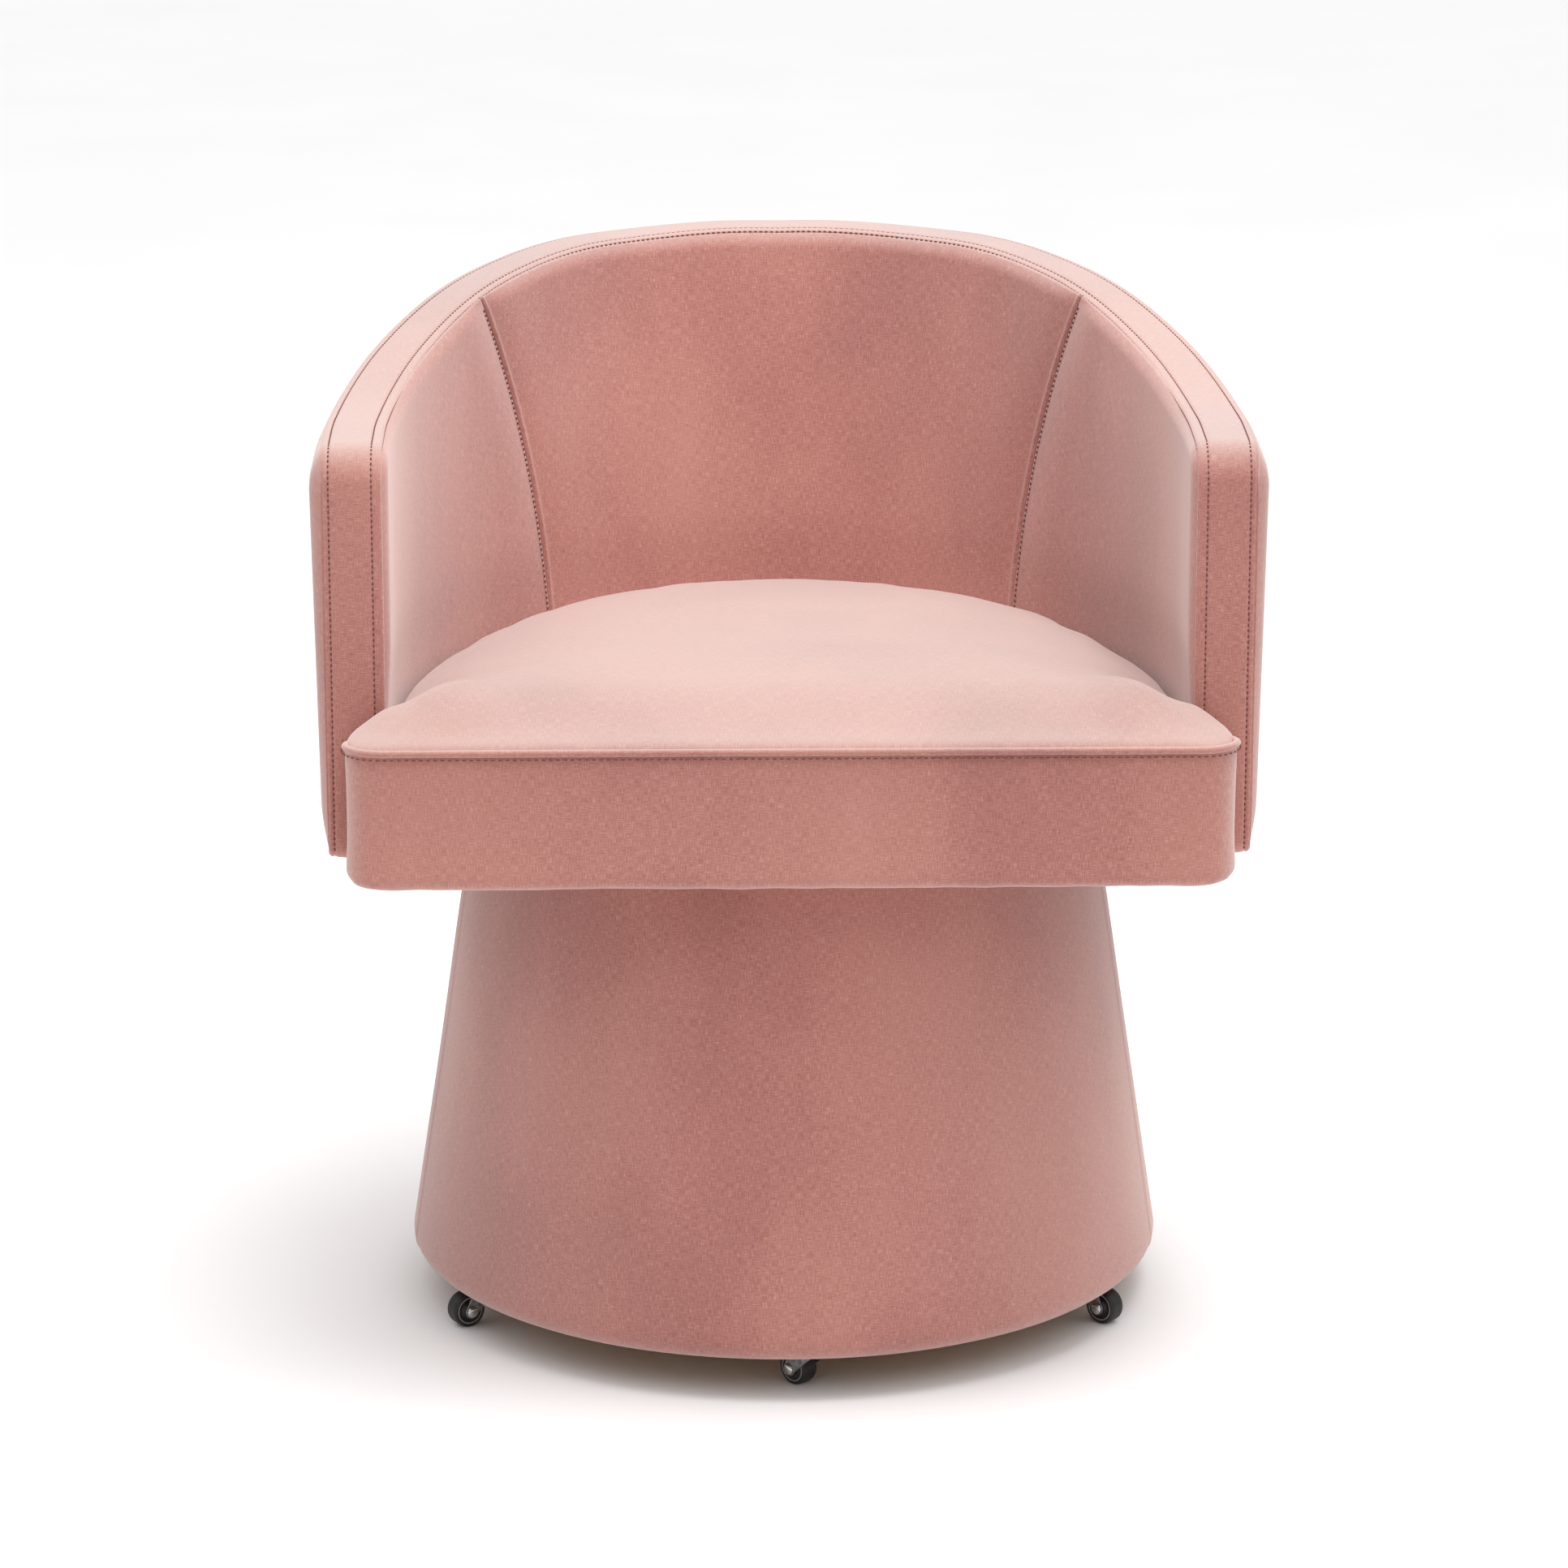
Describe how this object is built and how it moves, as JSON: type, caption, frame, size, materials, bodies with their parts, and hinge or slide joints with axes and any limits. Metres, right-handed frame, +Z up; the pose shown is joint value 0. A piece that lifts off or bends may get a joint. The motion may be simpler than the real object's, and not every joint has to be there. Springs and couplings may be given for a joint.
{
  "type": "barrel swivel rolling chair",
  "caption": "Upholstered barrel-back chair with a T-shaped seat that swivels on a conical upholstered pedestal, which rolls on small casters hidden under its skirt.",
  "frame": {"origin": "on the floor, on the swivel axis, which is also the middle of the footprint", "axes": "+Z up, -Y towards the front of the seat, +X towards the right arm as seen by someone facing the chair"},
  "size_m": [0.6588, 0.5901, 0.74],
  "materials": {
    "upholstery": "soft short-pile woven fabric in a heathered dusty pink, with tonal stitching",
    "lining": "black non-woven dust cover",
    "plywood": "raw sanded plywood",
    "plate_steel": "zinc-plated pressed steel",
    "caster_steel": "dark satin pressed steel",
    "bright_steel": "bright domed rivets and bolt heads",
    "wheel_plastic": "dark brown-black moulded wheel centre",
    "tyre_rubber": "black rubber tread with a slight sheen"
  },
  "bodies": {
    "base": {"pedestal_cover": "upholstery", "pedestal_wall": "plywood", "pedestal_top_board": "plywood", "caster_board": "plywood", "lower_swivel_plate": "plate_steel", "swivel_bearing_ring": "plate_steel", "caster_1_plate": "caster_steel", "caster_1_kingpin": "caster_steel", "caster_2_plate": "caster_steel", "caster_2_kingpin": "caster_steel", "caster_3_plate": "caster_steel", "caster_3_kingpin": "caster_steel", "caster_4_plate": "caster_steel", "caster_4_kingpin": "caster_steel", "caster_5_plate": "caster_steel", "caster_5_kingpin": "caster_steel"},
    "seat": {"outer_back_cover": "upholstery", "back_frame": "plywood", "back_pad": "upholstery", "left_arm_pad": "upholstery", "right_arm_pad": "upholstery", "edge_band": "upholstery", "seat_cushion": "upholstery", "seat_board": "plywood", "seat_dust_cover": "lining", "upper_swivel_plate": "plate_steel", "seat_bolt_1": "bright_steel", "seat_bolt_2": "bright_steel", "seat_bolt_3": "bright_steel", "seat_bolt_4": "bright_steel"},
    "caster_1_swivel": {"caster_1_fork": "caster_steel", "caster_1_axle": "bright_steel"},
    "caster_1_wheel": {"caster_1_hub": "wheel_plastic", "caster_1_tyre": "tyre_rubber"},
    "caster_2_swivel": {"caster_2_fork": "caster_steel", "caster_2_axle": "bright_steel"},
    "caster_2_wheel": {"caster_2_hub": "wheel_plastic", "caster_2_tyre": "tyre_rubber"},
    "caster_3_swivel": {"caster_3_fork": "caster_steel", "caster_3_axle": "bright_steel"},
    "caster_3_wheel": {"caster_3_hub": "wheel_plastic", "caster_3_tyre": "tyre_rubber"},
    "caster_4_swivel": {"caster_4_fork": "caster_steel", "caster_4_axle": "bright_steel"},
    "caster_4_wheel": {"caster_4_hub": "wheel_plastic", "caster_4_tyre": "tyre_rubber"},
    "caster_5_swivel": {"caster_5_fork": "caster_steel", "caster_5_axle": "bright_steel"},
    "caster_5_wheel": {"caster_5_hub": "wheel_plastic", "caster_5_tyre": "tyre_rubber"}
  },
  "joints": [
    {"name": "seat_swivel", "type": "hinge", "parent": "base", "child": "seat", "pos_m": [0, 0, 0.382], "axis": [0, 0, 1], "continuous": true},
    {"name": "caster_1_turn", "type": "hinge", "parent": "base", "child": "caster_1_swivel", "pos_m": [0.01674, -0.23941, 0.031], "axis": [0, 0, 1], "continuous": true},
    {"name": "caster_1_roll", "type": "hinge", "parent": "caster_1_swivel", "child": "caster_1_wheel", "pos_m": [0.00583, -0.22771, 0.0125], "axis": [-0.7314, -0.682, 0], "continuous": true},
    {"name": "caster_2_turn", "type": "hinge", "parent": "base", "child": "caster_2_swivel", "pos_m": [0.21925, -0.09762, 0.031], "axis": [0, 0, 1], "continuous": true},
    {"name": "caster_2_roll", "type": "hinge", "parent": "caster_2_swivel", "child": "caster_2_wheel", "pos_m": [0.23114, -0.10832, 0.0125], "axis": [0.6691, 0.7431, 0], "continuous": true},
    {"name": "caster_3_turn", "type": "hinge", "parent": "base", "child": "caster_3_swivel", "pos_m": [0.16059, 0.17836, 0.031], "axis": [0, 0, 1], "continuous": true},
    {"name": "caster_3_roll", "type": "hinge", "parent": "caster_3_swivel", "child": "caster_3_wheel", "pos_m": [0.1681, 0.19248, 0.0125], "axis": [-0.8829, 0.4695, 0], "continuous": true},
    {"name": "caster_4_turn", "type": "hinge", "parent": "base", "child": "caster_4_swivel", "pos_m": [-0.16059, 0.17836, 0.031], "axis": [0, 0, 1], "continuous": true},
    {"name": "caster_4_roll", "type": "hinge", "parent": "caster_4_swivel", "child": "caster_4_wheel", "pos_m": [-0.16606, 0.19339, 0.0125], "axis": [-0.9397, -0.342, 0], "continuous": true},
    {"name": "caster_5_turn", "type": "hinge", "parent": "base", "child": "caster_5_swivel", "pos_m": [-0.21925, -0.09762, 0.031], "axis": [0, 0, 1], "continuous": true},
    {"name": "caster_5_roll", "type": "hinge", "parent": "caster_5_swivel", "child": "caster_5_wheel", "pos_m": [-0.23297, -0.10586, 0.0125], "axis": [0.515, -0.8572, 0], "continuous": true}
  ]
}
